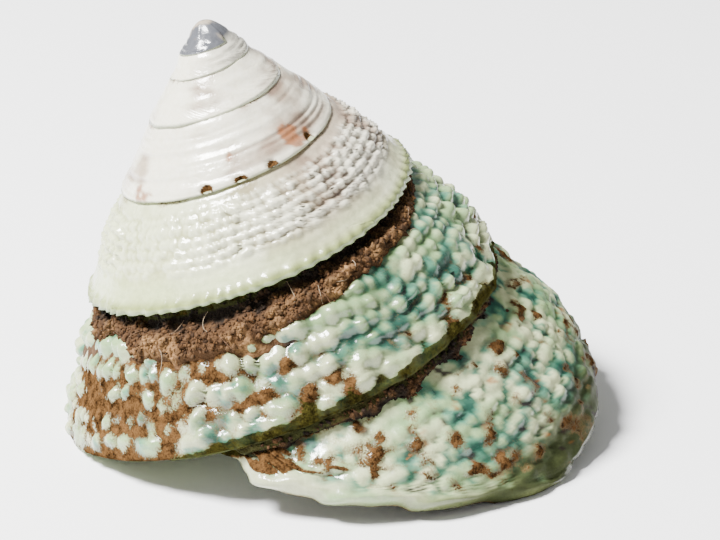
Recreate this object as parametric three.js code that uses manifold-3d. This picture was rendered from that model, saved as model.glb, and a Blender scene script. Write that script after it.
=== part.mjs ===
// A top shell, the cone-shaped shell of a sea snail, with soil packed in its seam.
// Millimetres, +Z up. It lies as it does on a table, on the corner of its lip and on its rim.
//
// The shell is one coil round an axis. A place on it is given by a turn, which is 0 at the lip and
// counts back to the tip, and by a point of the outline that the coil draws in the plane of its axis.

import * as THREE from 'three';
import Module from 'manifold-3d';
import { mergeVertices } from 'three/addons/utils/BufferGeometryUtils.js';

// Driving dimensions of the coil
const rimRadius = 27.5; // the rim's distance from the axis, at the lip
const growth = 0.232; // natural logarithm of one turn's growth, at the lip
const growthEase = -0.034; // the youngest turns grow faster
const steepness = 0.9; // how far the rim drops for its radius, near the tip
const flare = 0.75; // how much more it drops in the wide turns
const turnCount = 6;
const lipLag = 11 / 60; // how far the lip's corner lags behind its upper end, in turns
const baseLag = 0.12; // how far the lip lags more on its way to the columella

// Driving dimensions of the outline, as shares of the flank's width
const seamAlong = -0.05;
const channelEnd = 0.26;
const undersideSwell = 0.15; // in millimetres, as all that follow

// How they change along the coil, as pairs of a turn and a share: the spire is worn smooth, the
// middle turn is flat where it faces left, and the last one is round
const seamDepths = [[-1.65, 0.05], [-1.45, 0.13]];
const bellyHeights = [[-2.6, 0.01], [-1.9, 0.015], [-1.3, 0.045], [-0.85, 0], [-0.5, 0.06]];

// Driving dimensions of the knobs, the wall and the base
const cordCount = 5;
const cordHeight = 0.2;
const knobHeight = 0.35;
const baseCordHeight = 0.2;
const wall = 1.5;
const cornerShare = 1.9; // how much thicker the wall is in the corner under the rim
const baseLevel = -35.5; // the middle of the base, below the tip
const baseHollow = 0.1; // how far a covered base rises towards the axis, as a share of the rim's radius
const columellaShare = 0.11; // the columella's radius, as a share of the rim's
const tipHeight = 0.2;
const tipShoulder = -0.45; // where the round tip begins
const tipShare = 0.5; // its radius there, as a share of the first turn's

// Driving dimensions of the soil
const soilStart = -1.42; // turns
const soilEnd = -0.05;
const soilWideEnd = -0.9; // past this turn the channel holds less
const soilLean = 0.55; // how much less, in width and in height
const soilGap = 0.3;
const soilThickness = 0.7;

// How the shell lies, in degrees, and how far it is worn flat where it touches the table
const spin = 155.7;
const lean = 13.4;
const leanToward = -176.5;
const wornDepth = 1.1;

// How fine the surface is
const stepsPerTurn = 60;
const lagSteps = Math.round(lipLag * stepsPerTurn);
const stepCount = turnCount * stepsPerTurn;
const fineFrom = stepCount - 3 * stepsPerTurn;
const baseSteps = 6;
const columellaSteps = 2;
const hollowStepsPerTurn = 20;
const hollowTurns = 1.2;

const mix = THREE.MathUtils.lerp;

// From 0 where the value is start to 1 where it is end, which may be the smaller of the two
function smooth(start, end, value) {
  return THREE.MathUtils.smoothstep((value - start) / (end - start), 0, 1);
}

// The value at a turn, between the pairs of a list
function valueAt(pairs, turn) {
  const next = pairs.findIndex(([mark]) => mark > turn);
  if (next < 1) {
    return pairs.at(next)[1];
  }
  const [[low, first], [high, second]] = [pairs[next - 1], pairs[next]];
  return mix(first, second, (turn - low) / (high - low));
}

// The coil: points of a plane through the axis, x away from the axis and y up, at a turn

function rimAt(turn) {
  const radius = rimRadius * Math.exp(growth * turn + growthEase * turn * turn);
  return new THREE.Vector2(radius, -steepness * radius - flare * radius * radius / rimRadius);
}

// A point on the flank between two rims: along it, and out from it, as shares of its width
function flankPoint(turn, along, out) {
  const upper = rimAt(turn - 1);
  const chord = rimAt(turn).sub(upper);
  const outward = new THREE.Vector2(-chord.y, chord.x);
  return upper.addScaledVector(chord, along).addScaledVector(outward, out);
}

// The seam under a rim, where the next turn grows out of it
function seamAt(turn) {
  return flankPoint(turn + 1, seamAlong, -valueAt(seamDepths, turn + 1));
}

function size(turn) {
  return rimAt(turn).x / rimRadius;
}

function columellaRadius(turn) {
  return columellaShare * rimAt(turn).x;
}

// How far the flank swells from the straight line between two rims
function swell(turn, along) {
  const channel = Math.max(0, 1 - (along - seamAlong) / (channelEnd - seamAlong + 0.06));
  const belly = Math.sin(Math.PI * Math.pow(THREE.MathUtils.clamp(along, 0, 1), 1.6));
  return valueAt(bellyHeights, turn) * belly - valueAt(seamDepths, turn) * Math.pow(channel, 1.5);
}

// The base falls or rises evenly from the seam under the rim to the columella
function baseHeight(turn, radius) {
  const seam = seamAt(turn);
  const inner = columellaRadius(turn);
  const share = THREE.MathUtils.clamp((seam.x - radius) / (seam.x - inner), 0, 1);
  const covered = seam.y + baseHollow * rimAt(turn).x;
  const middle = mix(covered, baseLevel, smooth(-1, -0.75, turn));
  return mix(seam.y, middle, share);
}

// Growth is slanted: the lip lags on its way down the flank, and more across the base
function flankLag(along) {
  const share = THREE.MathUtils.clamp(along, 0, 1);
  return -lipLag * (0.72 * share + 0.28 * share * share);
}

function inSpace(turn, point) {
  const angle = -2 * Math.PI * turn;
  return new THREE.Vector3(point.x * Math.sin(angle), -point.x * Math.cos(angle), point.y);
}

// A closed surface, gathered row by row

class Surface {
  points = [];
  triangles = [];

  add(point) {
    this.points.push(point);
    return this.points.length - 1;
  }

  // Triangles between two neighbouring rows, which may differ in their number of points
  zip(first, second) {
    let i = 0;
    let j = 0;
    while (i < first.length - 1 || j < second.length - 1) {
      const shareFirst = (i + 1) / (first.length - 1);
      const shareSecond = (j + 1) / (second.length - 1);
      if (j === second.length - 1 || (i < first.length - 1 && shareFirst <= shareSecond)) {
        this.triangles.push(first[i], second[j], first[i + 1]);
        i += 1;
      } else {
        this.triangles.push(first[i], second[j], second[j + 1]);
        j += 1;
      }
    }
  }

  // Triangles from each edge of a ring to one point
  close(ring, point) {
    const centre = this.add(point);
    ring.forEach((vertex, k) => {
      this.triangles.push(vertex, ring[(k + 1) % ring.length], centre);
    });
  }

  geometry() {
    const geometry = new THREE.BufferGeometry();
    const positions = this.points.flatMap((point) => point.toArray());
    geometry.setAttribute('position', new THREE.Float32BufferAttribute(positions, 3));
    geometry.setIndex(this.triangles);
    return geometry;
  }
}

// The outside of the shell

// Where a growth line's points lie on the flank, and how high each stands
function flankStations(step) {
  if (step < fineFrom) {
    return [seamAlong, 0.2, 0.55, 0.88].map((along) => ({ along, relief: 0 }));
  }
  const stations = [seamAlong, 0.08, 0.19].map((along) => ({ along, relief: 0 }));
  const pitch = (1 - channelEnd) / cordCount;
  for (let cord = 0; cord < cordCount; cord += 1) {
    const knob = (step + cord) % 2 === 0 ? knobHeight : 0;
    stations.push({ along: channelEnd + cord * pitch, relief: 0 });
    stations.push({ along: channelEnd + (cord + 0.5) * pitch, relief: cordHeight + knob });
  }
  return stations;
}

function flankRow(surface, step) {
  const turn = (step - stepCount) / stepsPerTurn;
  const row = flankStations(step).map(({ along, relief }) => {
    const here = turn + flankLag(along);
    const width = rimAt(here).distanceTo(rimAt(here - 1));
    const out = swell(here, along) + relief * size(here) / width;
    return surface.add(inSpace(here, flankPoint(here, along, out)));
  });
  const rimTurn = turn - lipLag;
  const swellHere = undersideSwell * size(rimTurn);
  const rim = rimAt(rimTurn);
  row.push(surface.add(inSpace(rimTurn, rim)));
  if (step >= fineFrom) {
    const under = rim.clone().add(new THREE.Vector2(-1.2 * swellHere, -swellHere));
    row.push(surface.add(inSpace(rimTurn, under)));
  }
  return row;
}

function baseRow(surface, step, start) {
  const turn = (step - stepCount) / stepsPerTurn - lipLag;
  const row = [start];
  for (let k = 1; k <= baseSteps; k += 1) {
    const share = k / baseSteps;
    const radius = mix(seamAt(turn).x, columellaRadius(turn), share);
    const raised = k % 2 === 1 ? baseCordHeight : 0;
    const height = baseHeight(turn, radius) - raised * smooth(-1, -0.9, turn);
    row.push(surface.add(inSpace(turn - baseLag * share * share, new THREE.Vector2(radius, height))));
  }
  return row;
}

// The hollow: one row for each side of the coiled tube, at a turn behind the lip

function hollowSides(surface, turn) {
  const depth = smooth(0, -0.05, turn);
  const thickness = (0.6 + 0.4 * depth) * wall * size(turn);
  const corner = surfaceCorner(turn, thickness);
  const outerWall = [0, 0.25, 0.5, 0.75, 1].map((share) => {
    const here = turn + flankLag(share);
    const { top, bottom } = surfaceCorner(here, thickness);
    const chord = bottom.clone().sub(top);
    const outward = new THREE.Vector2(-chord.y, chord.x);
    const point = top.addScaledVector(chord, share)
      .addScaledVector(outward, valueAt(bellyHeights, here) * Math.sin(Math.PI * share));
    return surface.add(inSpace(here, point));
  });
  const floorTurn = turn - lipLag;
  const floorEnd = columellaRadius(floorTurn);
  const floor = [outerWall.at(-1)];
  for (let k = 1; k <= 4; k += 1) {
    const share = k / 4;
    const radius = mix(rimAt(floorTurn).x - cornerShare * thickness, floorEnd, share);
    const rise = thickness * mix(cornerShare, 1, smooth(0, 0.6, share));
    const point = new THREE.Vector2(radius, baseHeight(floorTurn, radius) + rise);
    floor.push(surface.add(inSpace(floorTurn - baseLag * share * share, point)));
  }
  const ceilingTurn = turn - 1;
  const ceilingEnd = columellaRadius(ceilingTurn);
  const ceiling = [];
  for (let k = 4; k >= 1; k -= 1) {
    const share = k / 4;
    const radius = mix(corner.top.x, ceilingEnd, share);
    const point = new THREE.Vector2(radius, baseHeight(ceilingTurn, radius));
    ceiling.push(surface.add(inSpace(ceilingTurn - baseLag * share * share, point)));
  }
  ceiling.push(outerWall[0]);
  const columella = columellaRow(surface, turn, floor.at(-1), ceiling[0]);
  return [outerWall, floor, columella, ceiling];
}

// The tube's upper and lower corners next to the flank
function surfaceCorner(turn, thickness) {
  const topRadius = seamAt(turn - 1).x - 1.2 * thickness;
  const bottomRadius = rimAt(turn).x - cornerShare * thickness;
  return {
    top: new THREE.Vector2(topRadius, baseHeight(turn - 1, topRadius)),
    bottom: new THREE.Vector2(bottomRadius, baseHeight(turn, bottomRadius) + cornerShare * thickness),
  };
}

// The columella twists up from the floor to the ceiling
function columellaRow(surface, turn, bottom, top) {
  const row = [bottom];
  const lower = surface.points[bottom];
  const upper = surface.points[top];
  for (let k = 1; k < columellaSteps; k += 1) {
    const share = k / columellaSteps;
    const radius = mix(Math.hypot(lower.x, lower.y), Math.hypot(upper.x, upper.y), share);
    const here = turn - baseLag - lipLag * (1 - share);
    row.push(surface.add(inSpace(here, new THREE.Vector2(radius, mix(lower.z, upper.z, share)))));
  }
  row.push(top);
  return row;
}

function shellGeometry() {
  const surface = new Surface();
  const rows = [];
  for (let step = 0; step <= stepCount; step += 1) {
    rows.push(flankRow(surface, step));
  }
  // Each row ends in the seam, which is the start of the row one turn further on
  const firstOpen = stepCount - stepsPerTurn + lagSteps;
  rows.forEach((row, step) => {
    if (step <= firstOpen) {
      row.push(rows[step + stepsPerTurn - lagSteps][0]);
    } else {
      const turn = (step - stepCount) / stepsPerTurn - lipLag;
      row.push(surface.add(inSpace(turn, seamAt(turn))));
    }
  });
  for (let step = 0; step < stepCount; step += 1) {
    surface.zip(rows[step], rows[step + 1]);
  }

  // The tip, with a round shoulder
  const tipSpiral = rows.slice(0, stepsPerTurn - lagSteps + 1).map((row) => row[0]).reverse();
  const tipRing = [...tipSpiral, ...rows[0].slice(1, -1), tipSpiral[0]];
  const shoulder = tipRing.slice(1).map((vertex) => {
    const { x, y } = surface.points[vertex];
    return surface.add(new THREE.Vector3(tipShare * x, tipShare * y, tipShoulder));
  });
  surface.zip([shoulder.at(-1), ...shoulder], tipRing);
  surface.close(shoulder, new THREE.Vector3(0, 0, tipHeight));

  // The base, from the parietal wall round to the lip
  const baseRows = [];
  for (let step = firstOpen; step <= stepCount; step += 1) {
    baseRows.push(baseRow(surface, step, rows[step].at(-1)));
  }
  for (let k = 0; k < baseRows.length - 1; k += 1) {
    surface.zip(baseRows[k], baseRows[k + 1]);
  }
  const lipBase = baseRows.at(-1);
  const parietal = baseRows[0];
  const columella = columellaRow(surface, 0, lipBase.at(-1), parietal.at(-1));
  const middleRing = baseRows.map((row) => row.at(-1));
  surface.close([...middleRing, ...columella.slice(1, -1)], new THREE.Vector3(0, 0, baseLevel + 0.6));

  // The hollow, from the edge of the mouth back into the coil
  let sides = [rows.at(-1), lipBase, columella, parietal.toReversed()];
  const hollowSteps = Math.round(hollowTurns * hollowStepsPerTurn);
  for (let k = 0; k <= hollowSteps; k += 1) {
    const turn = k === 0 ? -0.012 : -k / hollowStepsPerTurn;
    const next = hollowSides(surface, turn);
    sides.forEach((side, index) => surface.zip(side, next[index]));
    sides = next;
  }
  const end = sides.flatMap((side) => side.slice(0, -1));
  const centre = new THREE.Vector3();
  end.forEach((vertex) => centre.add(surface.points[vertex]));
  surface.close(end.reverse(), centre.divideScalar(end.length));
  return surface.geometry();
}

// The soil lies in the channel under the rim, from the left round the front to the right

function soilGeometry() {
  const surface = new Surface();
  const rings = [];
  const first = Math.round(stepCount + soilStart * stepsPerTurn);
  const last = Math.round(stepCount + soilEnd * stepsPerTurn);
  for (let step = first; step <= last; step += 1) {
    const turn = (step - stepCount) / stepsPerTurn;
    const rise = smooth(first, first + 12, step) * smooth(last, last - 12, step);
    const fullness = mix(soilLean, 1, smooth(soilWideEnd + 0.3, soilWideEnd, turn));
    const thickness = soilThickness * fullness * (0.35 + 0.65 * rise);
    const outline = [[0.08, 0], [0.15, 0], [0.22, 0], [0.19, 0.75], [0.13, 1], [0.09, 0.7]];
    rings.push(outline.map(([share, height]) => {
      const along = share * fullness;
      const here = turn + flankLag(along);
      const width = rimAt(here).distanceTo(rimAt(here - 1));
      const out = swell(here, along) + (soilGap + height * thickness) / width;
      return surface.add(inSpace(here, flankPoint(here, along, out)));
    }));
  }
  for (let k = 0; k < rings.length - 1; k += 1) {
    surface.zip([...rings[k + 1], rings[k + 1][0]], [...rings[k], rings[k][0]]);
  }
  const middle = (ring) => ring.reduce((sum, vertex) => sum.add(surface.points[vertex]),
    new THREE.Vector3()).divideScalar(ring.length);
  surface.close(rings[0].toReversed(), middle(rings[0]));
  surface.close(rings.at(-1), middle(rings.at(-1)));
  return surface.geometry();
}

// How it lies

const toRadians = THREE.MathUtils.degToRad;
const leaning = new THREE.Matrix4().makeRotationZ(toRadians(leanToward))
  .multiply(new THREE.Matrix4().makeRotationY(toRadians(lean)))
  .multiply(new THREE.Matrix4().makeRotationZ(toRadians(spin)));

async function cutBelow(geometry, height) {
  const wasm = await Module();
  wasm.setup();
  const solid = (source) => {
    const bare = mergeVertices(source.clone().deleteAttribute('normal').deleteAttribute('uv'));
    return new wasm.Manifold(new wasm.Mesh({
      numProp: 3,
      vertProperties: new Float32Array(bare.attributes.position.array),
      triVerts: new Uint32Array(bare.index.array),
    }));
  };
  const reach = 4 * rimRadius;
  const table = new THREE.BoxGeometry(reach, reach, reach).translate(0, 0, height - reach / 2);
  const mesh = solid(geometry).subtract(solid(table)).getMesh();
  const cut = new THREE.BufferGeometry();
  cut.setAttribute('position', new THREE.BufferAttribute(mesh.vertProperties, 3));
  cut.setIndex(new THREE.BufferAttribute(mesh.triVerts, 1));
  return cut;
}

const whole = shellGeometry().applyMatrix4(leaning);
whole.computeBoundingBox();
const worn = await cutBelow(whole, whole.boundingBox.min.z + wornDepth);
worn.computeBoundingBox();
const { min, max } = worn.boundingBox;
const toFoot = new THREE.Matrix4().makeTranslation(-(min.x + max.x) / 2, -(min.y + max.y) / 2, -min.z);

const shellMaterial = new THREE.MeshStandardMaterial({ color: 0xd3d9c6, roughness: 0.4, metalness: 0 });
const soilMaterial = new THREE.MeshStandardMaterial({ color: 0x6d4a2c, roughness: 0.95, metalness: 0 });

const shell = new THREE.Mesh(worn.applyMatrix4(toFoot), shellMaterial);
shell.name = 'shell';
const soilBand = soilGeometry().applyMatrix4(leaning).applyMatrix4(toFoot);
const soil = new THREE.Mesh(soilBand, soilMaterial);
soil.name = 'suture_soil';

const model = new THREE.Group();
model.add(shell, soil);

export default model;
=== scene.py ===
"""A top shell with soil packed in its seams, dressed over its solid model.

The shell is one coil round an axis. A place on it is given by its turn, which is 0 at the lip and
counts back to the tip, and by how far along the flank it lies, from 0 at the rim above to 1 at its
own rim. Shapes are worked out in millimetres in the shell's own frame and then laid down.
"""
import math

import bpy
import numpy as np
from mathutils import Matrix, Vector


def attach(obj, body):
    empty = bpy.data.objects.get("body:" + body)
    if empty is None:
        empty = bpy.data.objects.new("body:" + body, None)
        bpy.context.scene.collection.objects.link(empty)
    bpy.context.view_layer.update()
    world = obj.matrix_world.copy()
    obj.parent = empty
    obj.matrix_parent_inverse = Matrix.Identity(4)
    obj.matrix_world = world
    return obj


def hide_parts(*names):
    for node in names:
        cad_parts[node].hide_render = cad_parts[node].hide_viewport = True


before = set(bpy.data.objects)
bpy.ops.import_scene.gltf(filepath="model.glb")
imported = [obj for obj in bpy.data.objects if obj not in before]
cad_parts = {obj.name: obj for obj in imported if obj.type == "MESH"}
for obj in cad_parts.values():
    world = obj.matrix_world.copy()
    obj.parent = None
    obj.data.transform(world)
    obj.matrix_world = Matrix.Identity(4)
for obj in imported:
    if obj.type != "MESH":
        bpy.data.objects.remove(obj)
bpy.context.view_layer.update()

MM = 0.001
PHOTO_WIDTH = 720

# The coil, as in the solid model
RIM_RADIUS = 27.5
GROWTH = 0.232
GROWTH_EASE = -0.034
STEEPNESS = 0.9
FLARE = 0.75
TURNS = 6
LIP_LAG = 11 / 60
BASE_LAG = 0.12
SEAM_ALONG = -0.05
CHANNEL_END = 0.26
SEAM_DEPTHS = [(-2.7, 0.015), (-1.65, 0.05), (-1.45, 0.13)]
BELLY_HEIGHTS = [(-2.6, 0.01), (-1.9, 0.015), (-1.3, 0.045), (-0.85, 0.0), (-0.5, 0.06)]
BASE_LEVEL = -35.5
BASE_HOLLOW = 0.1
COLUMELLA_SHARE = 0.11
WALL = 1.5
CORNER_SHARE = 1.9
SPIN = math.radians(155.7)
LEAN = math.radians(13.4)
LEAN_TOWARD = math.radians(-176.5)
TIP_HEIGHT = 0.2

# Not in the solid model: the tip's extra width as a share, the base's cords, the lip's lobes and roll
TIP_SWELL = 0.42
BASE_CORD_PITCH = 2.7
LIP_EDGE_LOBES = 4.1
LIP_ROLL_DEPTH = 1.7
LIP_ROLL_TURN = 0.016

# How fine the mesh is
STEPS = 360
LAG_STEPS = round(LIP_LAG * STEPS)
STEP_COUNT = TURNS * STEPS
LIP_STEPS = 10
FINE_FROM = STEP_COUNT - 2 * STEPS
MIDDLE_FROM = STEP_COUNT - round(3.3 * STEPS)
FINE_POINTS = 62
MIDDLE_POINTS = 43
COARSE_POINTS = 12
UNDER_POINTS = 3
BASE_POINTS = 26
HOLLOW_STEPS = 40
HOLLOW_TURNS = 1.2

# How many there are in a turn, with beads for the last, middle, upper and spire styles
BEADS_PER_TURN = (112, 76, 112, 90)
KNOBS_PER_TURN = 31
FRILLS_PER_TURN = 70

# How many grains are tried, before those off the soil are dropped, and how many root hairs there are
GRAIN_TRIES = 13000
HAIR_COUNT = 16

# The steps of the growth lines, closer together at the lip
MARKS = np.concatenate([np.arange(STEP_COUNT - LIP_STEPS),
                        np.arange(STEP_COUNT - LIP_STEPS, STEP_COUNT + 0.1, 0.25)])

# How far the flank stands out or lies back as it grew, as pairs of a turn and millimetres
GROWTH_WAVES = [(-2.6, 0.0), (-2.3, 0.45), (-2.0, 0.05), (-1.8, 0.0), (-1.5, 0.35), (-1.3, 0.35),
                (-1.1, 0.0), (-0.95, -0.45), (-0.82, -0.45), (-0.6, 0.0)]

# The height of a bead row as a share of the flank, as pairs of a turn and the share
ROW_PITCHES = [(-2.5, 0.088), (-1.75, 0.095), (-1.5, 0.125), (-1.15, 0.13), (-0.98, 0.17), (-0.8, 0.16),
               (-0.5, 0.10), (0.0, 0.085)]

# Places, as turn and share along the flank, with a radius in millimetres
GREEN_PATCHES = [
    (-1.16, 0.35, 1.8), (-1.17, 0.60, 1.9), (-1.19, 0.80, 1.8), (-1.14, 0.75, 1.8),
    (-1.11, 0.55, 1.6), (-1.22, 0.65, 1.5), (-1.05, 0.62, 1.5), (-1.09, 0.92, 1.3),
    (-0.98, 0.38, 1.6), (-0.92, 0.63, 1.7), (-1.00, 0.93, 2.0), (-0.94, 0.80, 1.6),
    (-0.90, 0.90, 2.0), (-0.95, 0.45, 1.5), (-1.03, 0.88, 1.6), (-1.07, 0.78, 1.6),
    (-0.29, 0.28, 1.6), (-0.22, 0.45, 3.0), (-0.25, 0.68, 3.2), (-0.16, 0.38, 1.7),
    (-0.15, 0.56, 2.2), (-0.18, 0.72, 2.4), (-0.12, 0.42, 1.6), (-0.08, 0.45, 1.4),
]
DIRT_PATCHES = [
    (-0.87, 0.42, 1.6), (-0.91, 0.66, 1.8), (-0.94, 0.50, 2.2), (-0.95, 0.72, 1.8),
    (-0.98, 0.58, 2.2), (-0.98, 0.80, 2.0), (-1.00, 0.50, 1.4), (-1.02, 0.74, 1.6),
    (-1.03, 0.72, 1.2), (-1.015, 0.90, 1.6), (-1.04, 0.84, 1.1), (-1.055, 0.87, 1.3),
    (-1.065, 0.92, 1.2), (-1.045, 0.98, 1.0), (-1.09, 0.77, 1.1), (-1.10, 0.93, 1.2),
    (-1.19, 0.92, 1.4), (-1.23, 0.81, 0.8), (-1.24, 0.96, 1.2), (-0.90, 0.80, 1.5),
    (-1.10, 0.87, 1.4), (-1.07, 0.80, 1.1), (-1.00, 0.44, 1.2), (-1.00, 0.61, 1.3),
    (-1.01, 0.33, 1.5), (-1.02, 0.50, 1.2), (-1.00, 0.76, 1.3), (-1.06, 0.55, 1.0),
    (-1.016, 0.66, 1.1), (-1.04, 0.71, 1.1), (-1.083, 0.90, 0.9), (-0.105, 0.05, 1.2),
    (-0.02, 0.07, 1.5), (-0.035, 0.08, 1.7), (-0.025, 0.13, 1.3), (-0.033, 0.16, 1.3),
    (-0.040, 0.15, 1.2), (-0.037, 0.20, 1.2), (-0.042, 0.21, 1.3), (-0.045, 0.17, 1.0),
    (-0.054, 0.11, 0.9), (-0.063, 0.19, 0.7), (-0.069, 0.22, 1.0), (-0.058, 0.31, 1.3),
    (-0.089, 0.46, 0.9), (-0.098, 0.51, 0.9), (-0.094, 0.10, 0.8), (-0.106, 0.22, 0.8),
    (-0.124, 0.34, 1.0), (-0.131, 0.19, 1.1), (-0.204, 0.31, 1.1), (-0.199, 0.49, 0.8),
    (-0.273, 0.37, 0.8), (-0.164, 0.53, 0.9), (-0.164, 0.71, 1.3), (-0.176, 0.83, 1.0),
    (-0.189, 0.78, 0.9), (-0.174, 0.71, 0.9), (-0.158, 0.78, 0.9),
]
DARK_PATCHES = [
    (-0.21, 0.32, 0.8), (-0.138, 0.47, 0.8), (-0.144, 0.56, 0.9), (-0.199, 0.53, 0.8),
    (-0.116, 0.56, 0.7), (-0.201, 0.71, 0.6), (-0.136, 0.34, 0.6), (-0.06, 0.20, 0.7),
    (-1.25, 0.72, 0.8), (-1.19, 0.90, 0.8), (-1.12, 0.90, 0.7),
]
RUST_PATCHES = [
    (-2.89, 0.93, 1.5), (-3.16, 0.72, 1.6), (-3.19, 0.85, 0.8), (-3.05, 0.60, 0.7),
]
PITS = [(-3.01, 0.97), (-3.06, 0.99), (-3.11, 0.97), (-3.19, 0.93)]
HOLE = (-0.966, 0.06)

# How far down the flank the soil reaches, as turn and share
SOIL_REACH = [
    (-1.78, 0.0), (-1.6, 0.06), (-1.32, 0.09), (-1.26, 0.15), (-1.22, 0.22), (-1.14, 0.25), (-1.12, 0.31),
    (-1.06, 0.33), (-1.03, 0.38), (-0.97, 0.36), (-0.93, 0.32), (-0.905, 0.16), (-0.885, 0.1),
    (-0.87, 0.24), (-0.83, 0.12), (-0.78, 0.03), (-0.4, 0.03), (-0.33, 0.07), (-0.2, 0.05), (-0.04, 0.04),
]


# Helpers

def smooth(low, high, value):
    share = np.clip((value - low) / (high - low), 0, 1)
    return share * share * (3 - 2 * share)


def mix(first, second, share):
    return first + (second - first) * share


def between(value, start, full, fading, gone):
    """0 up to start, 1 from full to fading, and 0 again from gone."""
    return smooth(start, full, value) * (1 - smooth(fading, gone, value))


def noise(places, grain, seed):
    """Smooth random values from 0 to 1, in grains of the given size in millimetres."""
    size = 32
    table = np.random.default_rng(seed).random((size, size, size))
    scaled = places / grain
    cell = np.floor(scaled).astype(int)
    part = scaled - cell
    part = part * part * (3 - 2 * part)
    total = np.zeros(places.shape[:-1])
    for corner in np.ndindex(2, 2, 2):
        weight = np.prod(np.where(corner, part, 1 - part), axis=-1)
        spot = (cell + corner) % size
        total += weight * table[spot[..., 0], spot[..., 1], spot[..., 2]]
    return total


def grit(places, grain, seed):
    """Noise in three sizes of grain, from about 0.15 to 0.85."""
    return (noise(places, grain, seed) + 0.5 * noise(places, grain / 2.1, seed + 1)
            + 0.25 * noise(places, grain / 4.3, seed + 2)) / 1.75


def flat(first, second):
    """Points on a plane, for noise that is stretched along the shell's own lines."""
    return np.stack(np.broadcast_arrays(first, second, 0.0), axis=-1)


# The coil

def rim_at(turn):
    radius = RIM_RADIUS * np.exp(GROWTH * turn + GROWTH_EASE * turn * turn)
    return radius, -STEEPNESS * radius - FLARE * radius * radius / RIM_RADIUS


def value_at(pairs, turn):
    return np.interp(turn, *zip(*pairs))


def flank_width(turn):
    upper_radius, upper_height = rim_at(turn - 1)
    radius, height = rim_at(turn)
    return np.hypot(radius - upper_radius, height - upper_height)


def flank_point(turn, along, out):
    """Radius and height of a point on the flank, with out as a share of its width."""
    upper_radius, upper_height = rim_at(turn - 1)
    radius, height = rim_at(turn)
    across, down = radius - upper_radius, height - upper_height
    return upper_radius + across * along - down * out, upper_height + down * along + across * out


def seam_at(turn):
    return flank_point(turn + 1, SEAM_ALONG, -value_at(SEAM_DEPTHS, turn + 1))


def scale_at(turn):
    return rim_at(turn)[0] / RIM_RADIUS


def channel_depth(turn, along):
    """How deep the channel under the rim above is, as a share of the flank's width."""
    share = np.clip(1 - (along - SEAM_ALONG) / (CHANNEL_END - SEAM_ALONG + 0.06), 0, None)
    return value_at(SEAM_DEPTHS, turn) * share ** 1.5


def swell(turn, along):
    belly = np.sin(np.pi * np.clip(along, 0, 1) ** 1.6)
    return value_at(BELLY_HEIGHTS, turn) * belly - channel_depth(turn, along)


def base_height(turn, radius):
    seam_radius, seam_height = seam_at(turn)
    rim_radius = rim_at(turn)[0]
    share = np.clip((seam_radius - radius) / (seam_radius - COLUMELLA_SHARE * rim_radius), 0, 1)
    covered = seam_height + BASE_HOLLOW * rim_radius
    middle = mix(covered, BASE_LEVEL, smooth(-1, -0.75, turn))
    return mix(seam_height, middle, share)


def flank_lag(along):
    share = np.clip(along, 0, 1)
    return -LIP_LAG * (0.72 * share + 0.28 * share * share)


def in_space(turn, radius, height):
    angle = -2 * np.pi * turn
    turn, radius, height = np.broadcast_arrays(turn, radius, height)
    return np.stack([radius * np.sin(angle), -radius * np.cos(angle), height], axis=-1)


def plain_flank(turn, along):
    return in_space(turn, *flank_point(turn, along, swell(turn, along)))


def over_flank(turn, along, height):
    """A place at a height in millimetres over the straight line from rim to rim."""
    return in_space(turn, *flank_point(turn, along, height / flank_width(turn)))


def laying():
    """The turn and shift that lay the shell down where the solid model lies."""
    turned = Matrix.Rotation(LEAN_TOWARD, 3, "Z") @ Matrix.Rotation(LEAN, 3, "Y")
    turned = np.array(turned @ Matrix.Rotation(SPIN, 3, "Z"))
    corners = [vertex.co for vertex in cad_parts["shell"].data.vertices]
    tip = np.array(max(corners, key=lambda corner: corner.z)) / MM
    return turned, tip - turned @ np.array([0, 0, TIP_HEIGHT])


LAID, SHIFT = laying()


def lay_down(places):
    return places @ LAID.T + SHIFT


# What grows on the flank: cords, beads and knobs

def styles(turn):
    """How much a place belongs to the last turn, the middle, the upper one and the worn spire."""
    last = smooth(-0.69, -0.45, turn)
    middle = smooth(-1.69, -1.45, turn) - last
    upper = smooth(-2.72, -2.45, turn) - middle - last
    return last, middle, upper, 1 - last - middle - upper


def bead_count(turn):
    """How many beads a row passes from the tip to a turn."""
    marks = np.linspace(-TURNS - 1, 0.2, 400)
    per_turn = sum(count * share for count, share in zip(BEADS_PER_TURN, styles(marks)))
    passed = np.concatenate([[0], np.cumsum((per_turn[1:] + per_turn[:-1]) / 2 * np.diff(marks))])
    return np.interp(turn, marks, passed)


def beads(row, count, seed, jitter=0.2, reach=0.8):
    """Round beads in rows, each with its own place and height, from 0 to about 1.2."""
    size = 256
    table = np.random.default_rng(seed).random((4, size, size))
    height = np.zeros(np.broadcast(row, count).shape)
    for row_step in (-1, 0, 1):
        line = np.floor(row).astype(int) + row_step
        shifted = count + 0.5 * (line % 2)
        for step in (-1, 0, 1):
            cell = np.floor(shifted).astype(int) + step
            across, along, tall, wide = table[:, line % size, cell % size]
            down = row - line - 0.5 - jitter * (across - 0.5) * 2
            sideways = shifted - cell - 0.5 - jitter * (along - 0.5) * 2
            distance = (down ** 2 + sideways ** 2) / (reach * (0.75 + 0.45 * wide)) ** 2
            dome = np.clip(1 - distance, 0, None) ** 1.6
            height = np.maximum(height, dome * (0.45 + 0.75 * tall))
    return height


def growth_grain(turn, along):
    """Places squeezed together across the coil's run, for streaks that follow it."""
    along_coil = turn * 2 * np.pi * rim_at(turn)[0] / 3.5
    across = along * flank_width(turn) / 0.28
    return flat(along_coil, across)


def growth_wave(turn, along):
    return value_at(GROWTH_WAVES, turn) * smooth(0, 0.4, along)


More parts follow.
